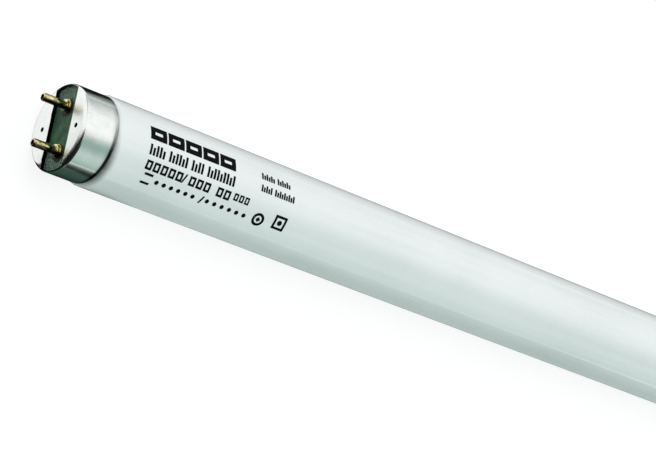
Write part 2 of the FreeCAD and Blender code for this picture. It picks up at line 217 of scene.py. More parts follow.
aluminium = {
    "patches": {"Scale": 1 / (2.6 * mm), "Detail": 5.0},
    "grain": {"Scale": 1 / (0.2 * mm)},
    "streakSize": (14 * mm, 0.22 * mm, 0.22 * mm),
    "streaks": {"Scale": 1.0, "Detail": 2.0},
    "streakShare": 0.4,
    "tone": [(0.3, "#e6e9e7"), (0.5, "#f1f3f1"), (0.7, "#f8f9f8")],
    # roughness by wear, and what is added to it where the sheet faces along the lamp
    "satin": {"From Min": 0.3, "From Max": 0.7, "To Min": 0.1, "To Max": 0.2},
    "stamped": {"From Min": 0.8, "From Max": 1.0, "To Max": 0.2},
    "reliefGrain": 0.5,
    "relief": {"Strength": 0.5, "Distance": 0.0015 * mm},
    "stakeAt": 7.8 * mm,  # from the lamp's axis
    # the stakes' recesses are painted dark as their shade
    "stakeShade": {"From Min": 0.6 * mm, "From Max": 0.72 * mm, "To Min": 1.0, "To Max": 0.0},
    "stakeShaded": "#2c312f",
    "slotHalf": 5.03 * mm,
    "boreRadius": 12.11 * mm,
    # the slot's edges are painted near black as the slot's shade
    "paintedShade": "#141916",
    # the sheet turns a darker grey in patches towards the open rim
    "rimGreyWidth": 2.2 * mm,
    "rimGreyFall": 1.6,
    "rimGreyPatches": {"From Min": 0.35, "From Max": 0.6, "To Min": 0.3, "To Max": 0.75},
    "rimGrey": "#6f7875",
    "shadedSideAim": (0, -0.7, 0.7),  # towards the side away from the light, where the rim is painted as shade
    # the rim is painted near black as shade over its last millimetre, on the side away from the light
    "rimShadeStart": 1.05 * mm,  # from the rim
    "rimShadeFull": 0.75 * mm,
    "rimShadeSide": {"From Min": 6 * mm, "From Max": 11.5 * mm, "To Max": 0.97},
    "rimShade": "#080b09",
    "rollFrom": 10.4 * mm,  # the face rolls over softly between these radii
    "rollTo": 12.2 * mm,
    "rollDrop": 0.36 * mm,
    "rollSide": {"From Min": 0.0, "From Max": 7 * mm},
}


def makeCapAluminium():
    # Soft aluminium sheet drawn into a cup between polished tools: a mottled satin, with
    # fine streaks down the side the way the sheet slid. The punched stakes are painted dark
    # as their shade, the slot's turned-in edges are painted black as the slot's shade, and
    # the sheet turns a darker grey in patches towards the open rim. The edge of the face is
    # burnished all round. On the side away from the light the rim is painted near black as
    # shade, and that edge of the face is rolled over a little.
    material, tree = emptyMaterial("drawnAluminium")
    place = addNode(tree, "ShaderNodeTexCoord").outputs["Object"]
    patches = addNode(tree, "ShaderNodeTexNoise", inputs={"Vector": place, **aluminium["patches"]})
    along = addNode(
        tree, "ShaderNodeMapping", inputs={"Vector": place, "Scale": perMetre(aluminium["streakSize"])}
    )
    streaks = addNode(
        tree, "ShaderNodeTexNoise", inputs={"Vector": along.outputs[0], **aluminium["streaks"]}
    )
    grain = addNode(tree, "ShaderNodeTexNoise", inputs={"Vector": place, **aluminium["grain"]})
    wear = addNode(
        tree,
        "ShaderNodeMix",
        {"data_type": "FLOAT"},
        {"Factor": aluminium["streakShare"], "A": patches.outputs["Fac"], "B": streaks.outputs["Fac"]},
    )
    tone = addNode(
        tree, "ShaderNodeValToRGB", inputs={"Fac": wear.outputs["Result"]}, stops=aluminium["tone"]
    )

    # painted shade in the stakes, by the distance from the nearer stake's axis
    parts = addNode(tree, "ShaderNodeSeparateXYZ", inputs={"Vector": place})
    fromMiddle = addNode(tree, "ShaderNodeMath", {"operation": "ABSOLUTE"}, {0: parts.outputs["Z"]})
    fromStake = addNode(
        tree,
        "ShaderNodeMath",
        {"operation": "SUBTRACT"},
        {0: fromMiddle.outputs[0], 1: aluminium["stakeAt"]},
    )
    across = addNode(
        tree, "ShaderNodeCombineXYZ", inputs={"Y": parts.outputs["Y"], "Z": fromStake.outputs[0]}
    )
    distance = addNode(tree, "ShaderNodeVectorMath", {"operation": "LENGTH"}, {0: across.outputs[0]})
    stakeShade = addNode(
        tree, "ShaderNodeMapRange", inputs={"Value": distance.outputs["Value"], **aluminium["stakeShade"]}
    )

    # the rim's darker grey, and painted shade at the rim on the side away from the light
    alongSide = addNode(tree, "ShaderNodeMath", {"operation": "ABSOLUTE"}, {0: parts.outputs["X"]})
    nearRim = addNode(
        tree,
        "ShaderNodeMapRange",
        inputs={
            "Value": alongSide.outputs[0],
            "From Min": rimAt + aluminium["rimGreyWidth"],
            "From Max": rimAt,
        },
    )
    fading = addNode(
        tree, "ShaderNodeMath", {"operation": "POWER"}, {0: nearRim.outputs[0], 1: aluminium["rimGreyFall"]}
    )
    patchy = addNode(
        tree,
        "ShaderNodeMapRange",
        inputs={"Value": patches.outputs["Fac"], **aluminium["rimGreyPatches"]},
    )
    rimGrey = addNode(
        tree, "ShaderNodeMath", {"operation": "MULTIPLY"}, {0: fading.outputs[0], 1: patchy.outputs[0]}
    )
    rimGreyed = addNode(
        tree,
        "ShaderNodeMix",
        {"data_type": "RGBA"},
        {
            "Factor": rimGrey.outputs[0],
            colourA: tone.outputs["Color"],
            colourB: linearColour(aluminium["rimGrey"]),
        },
    )
    rimShadeNear = addNode(
        tree,
        "ShaderNodeMapRange",
        inputs={
            "Value": alongSide.outputs[0],
            "From Min": rimAt + aluminium["rimShadeStart"],
            "From Max": rimAt + aluminium["rimShadeFull"],
        },
    )
    towardShade = addNode(
        tree, "ShaderNodeVectorMath", {"operation": "DOT_PRODUCT"}, {0: place, 1: aluminium["shadedSideAim"]}
    )
    rimShadeFade = addNode(
        tree, "ShaderNodeMapRange", inputs={"Value": towardShade.outputs["Value"], **aluminium["rimShadeSide"]}
    )
    rimShade = addNode(
        tree, "ShaderNodeMath", {"operation": "MULTIPLY"}, {0: rimShadeNear.outputs[0], 1: rimShadeFade.outputs[0]}
    )
    # painted shade at the rim, on the side away from the light
    rimShaded = addNode(
        tree,
        "ShaderNodeMix",
        {"data_type": "RGBA"},
        {
            "Factor": rimShade.outputs[0],
            colourA: rimGreyed.outputs[colourResult],
            colourB: linearColour(aluminium["rimShade"]),
        },
    )
    # painted shade in the stakes
    stakeShaded = addNode(
        tree,
        "ShaderNodeMix",
        {"data_type": "RGBA"},
        {
            "Factor": stakeShade.outputs[0],
            colourA: rimShaded.outputs[colourResult],
            colourB: linearColour(aluminium["stakeShaded"]),
        },
    )

    # painted shade inside the slot: between its edges and within the shell's bore
    inSlot = addNode(
        tree,
        "ShaderNodeMath",
        {"operation": "LESS_THAN"},
        {0: fromMiddle.outputs[0], 1: aluminium["slotHalf"]},
    )
    flat = addNode(
        tree, "ShaderNodeCombineXYZ", inputs={"Y": parts.outputs["Y"], "Z": parts.outputs["Z"]}
    )
    fromAxis = addNode(tree, "ShaderNodeVectorMath", {"operation": "LENGTH"}, {0: flat.outputs[0]})
    inBore = addNode(
        tree,
        "ShaderNodeMath",
        {"operation": "LESS_THAN"},
        {0: fromAxis.outputs["Value"], 1: aluminium["boreRadius"]},
    )
    # painted shade in the slot
    paintedShade = addNode(
        tree, "ShaderNodeMath", {"operation": "MULTIPLY"}, {0: inSlot.outputs[0], 1: inBore.outputs[0]}
    )
    colour = addNode(
        tree,
        "ShaderNodeMix",
        {"data_type": "RGBA"},
        {
            "Factor": paintedShade.outputs[0],
            colourA: stakeShaded.outputs[colourResult],
            colourB: linearColour(aluminium["paintedShade"]),
        },
    )

    # roughness: satin, rougher on the face and burnished again at its edge
    satin = addNode(
        tree, "ShaderNodeMapRange", inputs={"Value": wear.outputs["Result"], **aluminium["satin"]}
    )
    outward = addNode(tree, "ShaderNodeTexCoord").outputs["Normal"]
    aim = addNode(tree, "ShaderNodeSeparateXYZ", inputs={"Vector": outward})
    endwise = addNode(tree, "ShaderNodeMath", {"operation": "ABSOLUTE"}, {0: aim.outputs["X"]})
    stamped = addNode(
        tree, "ShaderNodeMapRange", inputs={"Value": endwise.outputs[0], **aluminium["stamped"]}
    )
    unburnished = addNode(
        tree,
        "ShaderNodeMapRange",
        inputs={
            "Value": fromAxis.outputs["Value"],
            "From Min": aluminium["rollTo"],
            "From Max": aluminium["rollFrom"],
        },
    )
    dulled = addNode(
        tree,
        "ShaderNodeMath",
        {"operation": "MULTIPLY_ADD"},
        {0: stamped.outputs[0], 1: unburnished.outputs[0], 2: satin.outputs[0]},
    )

    # relief: the roll of the face's edge, a height in metres, under the fine streaks
    roll = addNode(
        tree,
        "ShaderNodeMapRange",
        {"interpolation_type": "SMOOTHSTEP"},
        {
            "Value": fromAxis.outputs["Value"],
            "From Min": aluminium["rollFrom"],
            "From Max": aluminium["rollTo"],
            "To Max": -aluminium["rollDrop"],
        },
    )
    rollSide = addNode(
        tree, "ShaderNodeMapRange", inputs={"Value": towardShade.outputs["Value"], **aluminium["rollSide"]}
    )
    drop = addNode(
        tree, "ShaderNodeMath", {"operation": "MULTIPLY"}, {0: roll.outputs[0], 1: rollSide.outputs[0]}
    )
    rolled = addNode(
        tree, "ShaderNodeBump", inputs={"Strength": 1.0, "Distance": 1.0, "Height": drop.outputs[0]}
    )
    relief = addNode(
        tree,
        "ShaderNodeMix",
        {"data_type": "FLOAT"},
        {"Factor": aluminium["reliefGrain"], "A": streaks.outputs["Fac"], "B": grain.outputs["Fac"]},
    )
    skin = addNode(
        tree,
        "ShaderNodeBump",
        inputs={
            "Height": relief.outputs["Result"],
            "Normal": rolled.outputs[0],
            **aluminium["relief"],
        },
    )
    shader = addNode(
        tree,
        "ShaderNodeBsdfPrincipled",
        inputs={
            "Base Color": colour.outputs[colourResult],
            "Metallic": 1.0,
            "Roughness": dulled.outputs[0],
            "Normal": skin.outputs[0],
        },
    )
    finishMaterial(tree, shader)
    return material


laminate = {
    "sheet": {"Scale": 1 / (3.2 * mm), "Detail": 3.0},
    "fibreSize": (0.3 * mm, 1.8 * mm, 0.3 * mm),
    "fibres": {"Scale": 1.0, "Detail": 3.0},
    "fibreShare": 0.45,
    "specks": {"Scale": 1 / (0.35 * mm), "Detail": 3.0},
    "tone": [(0.36, "#25312b"), (0.5, "#2d5037"), (0.64, "#386a43")],
    "speckTone": [(0.38, "#141c18"), (0.5, "#3d5848"), (0.62, "#8fa497")],
    "scuff": {"From Min": 5 * mm, "From Max": 9 * mm, "To Max": 0.9},  # from the lamp's middle
    "footShadowAt": (-0.55 * mm, 0.35 * mm),  # the painted shadow's middle, from the pin's axis in Y and Z
    "footShadowFrom": 2.8 * mm,
    "footShadowTo": 2.3 * mm,
    "footShadowWander": 1.0 * mm,
    # the colour of the shadow painted beside each pin's foot
    "paintedShade": "#070b08",
    "relief": {"Strength": 0.6, "Distance": 0.03 * mm},
    "skin": {"Roughness": 0.5, "Specular IOR Level": 0.22},
}


def makeLaminate():
    # Cotton paper soaked in green resin, pressed hot into sheet and blanked: fibres show as
    # a soft grain, the riveting tool has scuffed the sheet outside the pins, and a black
    # shadow is painted on the sheet beside each pin's foot
    material, tree = emptyMaterial("paperLaminate")
    place = addNode(tree, "ShaderNodeTexCoord").outputs["Object"]
    along = addNode(
        tree, "ShaderNodeMapping", inputs={"Vector": place, "Scale": perMetre(laminate["fibreSize"])}
    )
    fibres = addNode(
        tree, "ShaderNodeTexNoise", inputs={"Vector": along.outputs[0], **laminate["fibres"]}
    )
    sheetTone = addNode(tree, "ShaderNodeTexNoise", inputs={"Vector": place, **laminate["sheet"]})
    specks = addNode(tree, "ShaderNodeTexNoise", inputs={"Vector": place, **laminate["specks"]})
    mottle = addNode(
        tree,
        "ShaderNodeMix",
        {"data_type": "FLOAT"},
        {"Factor": laminate["fibreShare"], "A": sheetTone.outputs["Fac"], "B": fibres.outputs["Fac"]},
    )
    plain = addNode(
        tree, "ShaderNodeValToRGB", inputs={"Fac": mottle.outputs["Result"]}, stops=laminate["tone"]
    )
    scuffed = addNode(
        tree, "ShaderNodeValToRGB", inputs={"Fac": specks.outputs["Fac"]}, stops=laminate["speckTone"]
    )
    parts = addNode(tree, "ShaderNodeSeparateXYZ", inputs={"Vector": place})
    fromMiddle = addNode(tree, "ShaderNodeMath", {"operation": "ABSOLUTE"}, {0: parts.outputs["Y"]})
    scuff = addNode(
        tree, "ShaderNodeMapRange", inputs={"Value": fromMiddle.outputs[0], **laminate["scuff"]}
    )
    sheet = addNode(
        tree,
        "ShaderNodeMix",
        {"data_type": "RGBA"},
        {
            "Factor": scuff.outputs[0],
            colourA: plain.outputs["Color"],
            colourB: scuffed.outputs["Color"],
        },
    )

    # distance from the middle of the nearer pin's painted shadow: both shadows go the same way in Y
    pinSide = addNode(tree, "ShaderNodeMath", {"operation": "SIGN"}, {0: parts.outputs["Y"]})
    footShadowMiddle = addNode(
        tree,
        "ShaderNodeMath",
        {"operation": "MULTIPLY_ADD"},
        {0: pinSide.outputs[0], 1: pinAxis, 2: laminate["footShadowAt"][0]},
    )
    footShadowY = addNode(
        tree,
        "ShaderNodeMath",
        {"operation": "SUBTRACT"},
        {0: parts.outputs["Y"], 1: footShadowMiddle.outputs[0]},
    )
    footShadowZ = addNode(
        tree,
        "ShaderNodeMath",
        {"operation": "SUBTRACT"},
        {0: parts.outputs["Z"], 1: laminate["footShadowAt"][1]},
    )
    across = addNode(tree, "ShaderNodeCombineXYZ", inputs={"Y": footShadowY.outputs[0], "Z": footShadowZ.outputs[0]})
    distance = addNode(tree, "ShaderNodeVectorMath", {"operation": "LENGTH"}, {0: across.outputs[0]})
    ragged = addNode(
        tree,
        "ShaderNodeMath",
        {"operation": "MULTIPLY_ADD"},
        {0: sheetTone.outputs["Fac"], 1: laminate["footShadowWander"], 2: distance.outputs["Value"]},
    )
    footShadow = addNode(
        tree,
        "ShaderNodeMapRange",
        inputs={
            "Value": ragged.outputs[0],
            "From Min": laminate["footShadowFrom"] + laminate["footShadowWander"] / 2,
            "From Max": laminate["footShadowTo"] + laminate["footShadowWander"] / 2,
        },
    )
    # painted shadow beside each pin's foot
    colour = addNode(
        tree,
        "ShaderNodeMix",
        {"data_type": "RGBA"},
        {
            "Factor": footShadow.outputs[0],
            colourA: sheet.outputs[colourResult],
            colourB: linearColour(laminate["paintedShade"]),
        },
    )
    weave = addNode(
        tree, "ShaderNodeBump", inputs={"Height": specks.outputs["Fac"], **laminate["relief"]}
    )
    shader = addNode(
        tree,
        "ShaderNodeBsdfPrincipled",
        inputs={
            "Base Color": colour.outputs[colourResult],
            "Normal": weave.outputs[0],
            **laminate["skin"],
        },
    )
    finishMaterial(tree, shader)
    return material


brass = {
    "tarnish": {"Scale": 1 / (0.9 * mm), "Detail": 4.0},
    "ringSize": (0.12 * mm, 3 * mm, 3 * mm),
    "rings": {"Scale": 1.0, "Detail": 2.0},
    "tone": [(0.34, "#8d7840"), (0.46, "#d8c684"), (0.6, "#f2e8bf")],
    "polish": {"From Min": 0.62, "From Max": 0.38, "To Min": 0.08, "To Max": 0.26},  # roughness
    "relief": {"Strength": 0.5, "Distance": 0.002 * mm},
    "boreRadius": 0.72 * mm,
    # the bore's colour: painted shade inside the hollow
    "boreShade": "#211b12",
    "shadeAim": (0, -0.985, -0.17),  # the side of each pin that is painted darker as shade
    "shadeFrom": 0.05,
    "shadeTo": 0.4,
    "shadeMost": 0.9,
    "shadeWander": 0.9,
    # the colour of the painted shade on one side of each pin
    "pinShade": "#1f180d",
}


def makeBrass():
    # Brass strip rolled and headed into hollow pins, then barrel polished: pale gold with
    # brown tarnish in blotches and faint rings round the pin. One side of each pin is painted
    # dark brown as shade, unevenly, and the bore is painted near black as the shade inside it
    material, tree = emptyMaterial("pinBrass")
    place = addNode(tree, "ShaderNodeTexCoord").outputs["Object"]
    tarnish = addNode(tree, "ShaderNodeTexNoise", inputs={"Vector": place, **brass["tarnish"]})
    around = addNode(
        tree, "ShaderNodeMapping", inputs={"Vector": place, "Scale": perMetre(brass["ringSize"])}
    )
    rings = addNode(
        tree, "ShaderNodeTexNoise", inputs={"Vector": around.outputs[0], **brass["rings"]}
    )
    tone = addNode(
        tree, "ShaderNodeValToRGB", inputs={"Fac": tarnish.outputs["Fac"]}, stops=brass["tone"]
    )

    # distance from the nearer pin's axis, and which way a point faces from it
    parts = addNode(tree, "ShaderNodeSeparateXYZ", inputs={"Vector": place})
    fromMiddle = addNode(tree, "ShaderNodeMath", {"operation": "ABSOLUTE"}, {0: parts.outputs["Y"]})
    fromPin = addNode(
        tree, "ShaderNodeMath", {"operation": "SUBTRACT"}, {0: fromMiddle.outputs[0], 1: pinAxis}
    )
    across = addNode(
        tree, "ShaderNodeCombineXYZ", inputs={"Y": fromPin.outputs[0], "Z": parts.outputs["Z"]}
    )
    distance = addNode(tree, "ShaderNodeVectorMath", {"operation": "LENGTH"}, {0: across.outputs[0]})
    bore = addNode(
        tree,
        "ShaderNodeMath",
        {"operation": "LESS_THAN"},
        {0: distance.outputs["Value"], 1: brass["boreRadius"]},
    )
    pinSide = addNode(tree, "ShaderNodeMath", {"operation": "SIGN"}, {0: parts.outputs["Y"]})
    offset = addNode(
        tree, "ShaderNodeMath", {"operation": "MULTIPLY"}, {0: fromPin.outputs[0], 1: pinSide.outputs[0]}
    )
    aroundPin = addNode(
        tree, "ShaderNodeCombineXYZ", inputs={"Y": offset.outputs[0], "Z": parts.outputs["Z"]}
    )
    unit = addNode(tree, "ShaderNodeVectorMath", {"operation": "NORMALIZE"}, {0: aroundPin.outputs[0]})
    facing = addNode(
        tree,
        "ShaderNodeVectorMath",
        {"operation": "DOT_PRODUCT"},
        {0: unit.outputs[0], 1: brass["shadeAim"]},
    )
    uneven = addNode(
        tree,
        "ShaderNodeMath",
        {"operation": "MULTIPLY_ADD"},
        {0: tarnish.outputs["Fac"], 1: brass["shadeWander"], 2: facing.outputs["Value"]},
    )
    # painted shade on one side of each pin, uneven with the tarnish
    pinShadeMask = addNode(
        tree,
        "ShaderNodeMapRange",
        {"interpolation_type": "SMOOTHSTEP"},
        {
            "Value": uneven.outputs[0],
            "From Min": brass["shadeFrom"] + brass["shadeWander"] / 2,
            "From Max": brass["shadeTo"] + brass["shadeWander"] / 2,
            "To Max": brass["shadeMost"],
        },
    )
    pinShaded = addNode(
        tree,
        "ShaderNodeMix",
        {"data_type": "RGBA"},
        {
            "Factor": pinShadeMask.outputs[0],
            colourA: tone.outputs["Color"],
            colourB: linearColour(brass["pinShade"]),
        },
    )
    # painted shade inside the bore
    colour = addNode(
        tree,
        "ShaderNodeMix",
        {"data_type": "RGBA"},
        {
            "Factor": bore.outputs[0],
            colourA: pinShaded.outputs[colourResult],
            colourB: linearColour(brass["boreShade"]),
        },
    )
    polish = addNode(
        tree, "ShaderNodeMapRange", inputs={"Value": tarnish.outputs["Fac"], **brass["polish"]}
    )
    turned = addNode(tree, "ShaderNodeBump", inputs={"Height": rings.outputs["Fac"], **brass["relief"]})
    shader = addNode(
        tree,
        "ShaderNodeBsdfPrincipled",
        inputs={
            "Base Color": colour.outputs[colourResult],
            "Metallic": 1.0,
            "Roughness": polish.outputs[0],
            "Normal": turned.outputs[0],
        },
    )
    finishMaterial(tree, shader)
    return material


wire = {
    "oxide": {"Scale": 1 / (0.5 * mm), "Detail": 3.0},
    "tone": [(0.4, "#4f4439"), (0.6, "#9b8b76")],
    "skin": {"Metallic": 1.0, "Roughness": 0.45},
}


def makeLeadWire():
    # Nickel-plated copper-clad wire, oxidised brown-grey in the sealing flame
    material, tree = emptyMaterial("leadWire")
    place = addNode(tree, "ShaderNodeTexCoord").outputs["Object"]
    oxide = addNode(tree, "ShaderNodeTexNoise", inputs={"Vector": place, **wire["oxide"]})
    tone = addNode(tree, "ShaderNodeValToRGB", inputs={"Fac": oxide.outputs["Fac"]}, stops=wire["tone"])
    shader = addNode(
        tree, "ShaderNodeBsdfPrincipled", inputs={"Base Color": tone.outputs["Color"], **wire["skin"]}
    )
    finishMaterial(tree, shader)
    return material


cement = {
    "filler": {"Scale": 1 / (0.3 * mm), "Detail": 4.0},
    "tone": [(0.4, "#9c8f72"), (0.6, "#c9bea3")],
    "relief": {"Strength": 0.7, "Distance": 0.05 * mm},
    "roughness": 0.9,
}


def makeCement():
    # Phenolic resin filled with marble flour, baked hard in the cap: a dull, gritty tan
    material, tree = emptyMaterial("basingCement")
    place = addNode(tree, "ShaderNodeTexCoord").outputs["Object"]
    filler = addNode(tree, "ShaderNodeTexNoise", inputs={"Vector": place, **cement["filler"]})
    tone = addNode(
        tree, "ShaderNodeValToRGB", inputs={"Fac": filler.outputs["Fac"]}, stops=cement["tone"]
    )
    grit = addNode(tree, "ShaderNodeBump", inputs={"Height": filler.outputs["Fac"], **cement["relief"]})
    shader = addNode(
        tree,
        "ShaderNodeBsdfPrincipled",
        inputs={
            "Base Color": tone.outputs["Color"],
            "Roughness": cement["roughness"],
            "Normal": grit.outputs[0],
        },
    )
    finishMaterial(tree, shader)
    return material


finishes = {
    "glass_tube": makeCoatedGlass(),
    "cap_shell": makeCapAluminium(),
    "insulator": makeLaminate(),
    "pin": makeBrass(),
    "lead_wire": makeLeadWire(),
    "basing_cement": makeCement(),
}
for name, node in nodes.items():
    finish = next(finishes[key] for key in finishes if key in name)
    node.data.materials.clear()
    node.data.materials.append(finish)
print("CAD nodes dressed")


def addPiece(name, form):
    mesh = bpy.data.meshes.new(name)
    form.to_mesh(mesh)
    form.free()
    piece = bpy.data.objects.new(name, mesh)
    bpy.context.scene.collection.objects.link(piece)
    return piece


ink = {
    "lift": 0.004 * mm,  # clear of the glass
    "thickness": 0.01 * mm,
    "bendStep": 0.5 * mm,  # a slab is cut at these steps, this far to each side
    "bendHalf": 11 * mm,
    "cutSnap": 1e-7,  # corners this near to a cut count as on it
    "dotSegments": 24,
    "patches": {"Scale": 1 / (0.8 * mm), "Detail": 3.0},
    "tone": [(0.35, "#020303"), (0.65, "#0c0d0f")],
    "skin": {"Roughness": 0.5, "Specular IOR Level": 0.05},
}


def makeInk():
    # Black enamel ink, stamped on the glass by a rubber pad and fired: nearly matt, and a
    # little thin where the pad pressed less
    material, tree = emptyMaterial("stampedInk")
    place = addNode(tree, "ShaderNodeTexCoord").outputs["Object"]
    patches = addNode(tree, "ShaderNodeTexNoise", inputs={"Vector": place, **ink["patches"]})
    tone = addNode(tree, "ShaderNodeValToRGB", inputs={"Fac": patches.outputs["Fac"]}, stops=ink["tone"])
    shader = addNode(
        tree, "ShaderNodeBsdfPrincipled", inputs={"Base Color": tone.outputs["Color"], **ink["skin"]}
    )
    finishMaterial(tree, shader)
    return material


inkFinish = makeInk()


# Print is laid out flat in mm: along is x on the lamp, up is the arc from the top of the
# glass towards +Y. All of it is plain shapes: fields, bars, squares, dots and simple marks.
def addBar(form, left, right, low, high, lean=0.0):
    corners = ((left, low), (right, low), (right + lean, high), (left + lean, high))
    face = form.faces.new([form.verts.new((x * mm, y * mm, 0)) for x, y in corners])
    face.normal_update()
    return face


def addDisc(form, along, up, radius, segments=ink["dotSegments"]):
    made = bmesh.ops.create_circle(
        form,
        cap_ends=True,
        segments=segments,
        radius=radius * mm,
        matrix=Matrix.Translation((along * mm, up * mm, 0)),
    )
    return made["verts"][0].link_faces[0]


def openUp(form, face, wall):
    # leaves an outline of this wall
    bmesh.ops.inset_region(
        form, faces=[face], thickness=wall * mm, use_boundary=True, use_even_offset=True
    )
    bmesh.ops.delete(form, geom=[face], context="FACES_ONLY")


def stampOnGlass(name, form):
    # a thin slab, cut across so that it can bend, then wrapped round the tube
    bottom = list(form.faces)
    raised = bmesh.ops.extrude_face_region(form, geom=bottom, use_keep_orig=True)
    top = [part for part in raised["geom"] if isinstance(part, bmesh.types.BMVert)]
    bmesh.ops.translate(form, verts=top, vec=(0, 0, ink["thickness"]))
    steps = round(ink["bendHalf"] / ink["bendStep"])
    for step in range(-steps, steps + 1):
        bmesh.ops.bisect_plane(
            form,
            geom=form.verts[:] + form.edges[:] + form.faces[:],
            dist=ink["cutSnap"],
            plane_co=(0, step * ink["bendStep"], 0),
            plane_no=(0, 1, 0),
        )
    for vert in form.verts:
        angle = vert.co.y / glassRadius
        radius = glassRadius + ink["lift"] + vert.co.z
        vert.co = (vert.co.x, radius * math.sin(angle), radius * math.cos(angle))
    bmesh.ops.recalc_face_normals(form, faces=form.faces)
    piece = addPiece(name, form)
    piece.data.materials.append(inkFinish)
    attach(piece, "root")


heading = {"left": -197.6, "right": -167.6, "low": 2.8, "high": 6.7, "fields": 5, "gap": 0.5, "wall": 1.5}


def stampHeading():
    # five bold open fields
    form = bmesh.new()
    pitch = (heading["right"] - heading["left"] + heading["gap"]) / heading["fields"]
    for number in range(heading["fields"]):
        left = heading["left"] + number * pitch
        face = addBar(form, left, left + pitch - heading["gap"], heading["low"], heading["high"])
        openUp(form, face, heading["wall"])
    stampOnGlass("print_heading", form)


uprights = {
    "left": -197.3,
    "pitch": 1.12,
    "width": 0.74,
    "low": -1.6,
    "high": 1.4,
    "lowTop": 0.6,
    "lowEvery": 3,
    "groups": (5, 6, 4, 9),
}


def stampUprights():
    # groups of upright bars, every third one lower
    form = bmesh.new()
    slot = 0
    for count in uprights["groups"]:
        for number in range(count):
            left = uprights["left"] + slot * uprights["pitch"]
            isLow = number % uprights["lowEvery"] == 1
            high = uprights["lowTop"] if isLow else uprights["high"]
            addBar(form, left, left + uprights["width"], uprights["low"], high)
            slot += 1
        slot += 1  # a gap between groups
    stampOnGlass("print_uprights", form)


squares = {
    "low": -5.7,
    "high": -3.0,
    "width": 2.1,
    "pitch": 2.62,
    "wall": 0.66,
    "starts": (-197.1, -182.1, -172.3),
    "counts": (5, 3, 2),
    "slashAt": -184.6,
    "slashWidth": 0.55,
    "slashLean": 1.0,
    "smallLeft": -166.3,
    "smallPitch": 1.95,
    "smallWidth": 1.5,
    "smallLow": -5.0,
    "smallHigh": -2.9,
    "smallWall": 0.5,
    "smallCount": 3,
}


def stampSquares():
    # runs of open squares with a slash between the first two, then three smaller ones
    form = bmesh.new()
    for start, count in zip(squares["starts"], squares["counts"]):
        for number in range(count):
            left = start + number * squares["pitch"]
            face = addBar(form, left, left + squares["width"], squares["low"], squares["high"])
            openUp(form, face, squares["wall"])
    slashRight = squares["slashAt"] + squares["slashWidth"]
    addBar(form, squares["slashAt"], slashRight, squares["low"], squares["high"], squares["slashLean"])
    for number in range(squares["smallCount"]):
        left = squares["smallLeft"] + number * squares["smallPitch"]
        face = addBar(form, left, left + squares["smallWidth"], squares["smallLow"], squares["smallHigh"])
        openUp(form, face, squares["smallWall"])
    stampOnGlass("print_squares", form)


dotRow = {
    "dashLeft": -196.2,
    "dashRight": -193.3,
    "dashes": (-6.8, -9.5),
    "dashHeight": 0.7,
    "dotRadius": 0.66,
    "dots": 6,
    "runs": ((-191.33, -178.73, -8.2), (-173.75, -160.58, -8.0)),  # first, last, up
    "slashAt": -176.4,
    "slashLow": -9.36,
    "slashHigh": -6.95,
    "slashWidth": 0.6,
    "slashLean": 0.8,
}


def stampDots():
    # two dashes, then two runs of dots with a slash between them
    form = bmesh.new()
    for up in dotRow["dashes"]:
        half = dotRow["dashHeight"] / 2
        addBar(form, dotRow["dashLeft"], dotRow["dashRight"], up - half, up + half)
    for first, last, up in dotRow["runs"]:
        for number in range(dotRow["dots"]):
            along = first + (last - first) * number / (dotRow["dots"] - 1)
            addDisc(form, along, up, dotRow["dotRadius"])
    slashRight = dotRow["slashAt"] + dotRow["slashWidth"]
    addBar(
        form, dotRow["slashAt"], slashRight, dotRow["slashLow"], dotRow["slashHigh"], dotRow["slashLean"]
    )
    stampOnGlass("print_dots", form)


ticks = {
    "width": 0.6,
    "pitch": 0.82,
    "rows": ((-158.1, 3.8, 5.8, (6, 6)), (-158.0, 0.2, 2.2, (5, 9))),  # left, low, high, groups
    "short": 0.6,
    "shortEvery": 2,
}


def stampTicks():
    # two rows of small ticks, every second one shorter
    form = bmesh.new()
    for left, low, high, groups in ticks["rows"]:
        slot = 0
        for count in groups:
            for number in range(count):
                start = left + slot * ticks["pitch"]
                isShort = number % ticks["shortEvery"] == 1
                top = high - ticks["short"] if isShort else high
                addBar(form, start, start + ticks["width"], low, top)
                slot += 1
            slot += 1  # a gap between groups
    stampOnGlass("print_ticks", form)


marks = {
    "ringAt": (-155.6, -7.6),
    "ringRadius": 2.0,
    "ringWall": 0.8,
    "ringSegments": 40,
    "diamondRadius": 0.8,
    "diamondSides": 4,
    "squareAt": (-148.4, -6.4),
    "squareHalf": 2.1,
    "squareWall": 0.75,
    "dotRadius": 0.8,
}


def stampMarks():
    # a ring round a diamond, and a square round a dot
    form = bmesh.new()
    ring = addDisc(form, *marks["ringAt"], marks["ringRadius"], marks["ringSegments"])
    openUp(form, ring, marks["ringWall"])
    addDisc(form, *marks["ringAt"], marks["diamondRadius"], marks["diamondSides"])
    along, up = marks["squareAt"]
    half = marks["squareHalf"]
    face = addBar(form, along - half, along + half, up - half, up + half)
    openUp(form, face, marks["squareWall"])
    addDisc(form, along, up, marks["dotRadius"])
    stampOnGlass("print_marks", form)


stampHeading()
stampUprights()
stampSquares()
stampDots()
stampTicks()
stampMarks()
print("print on the glass")


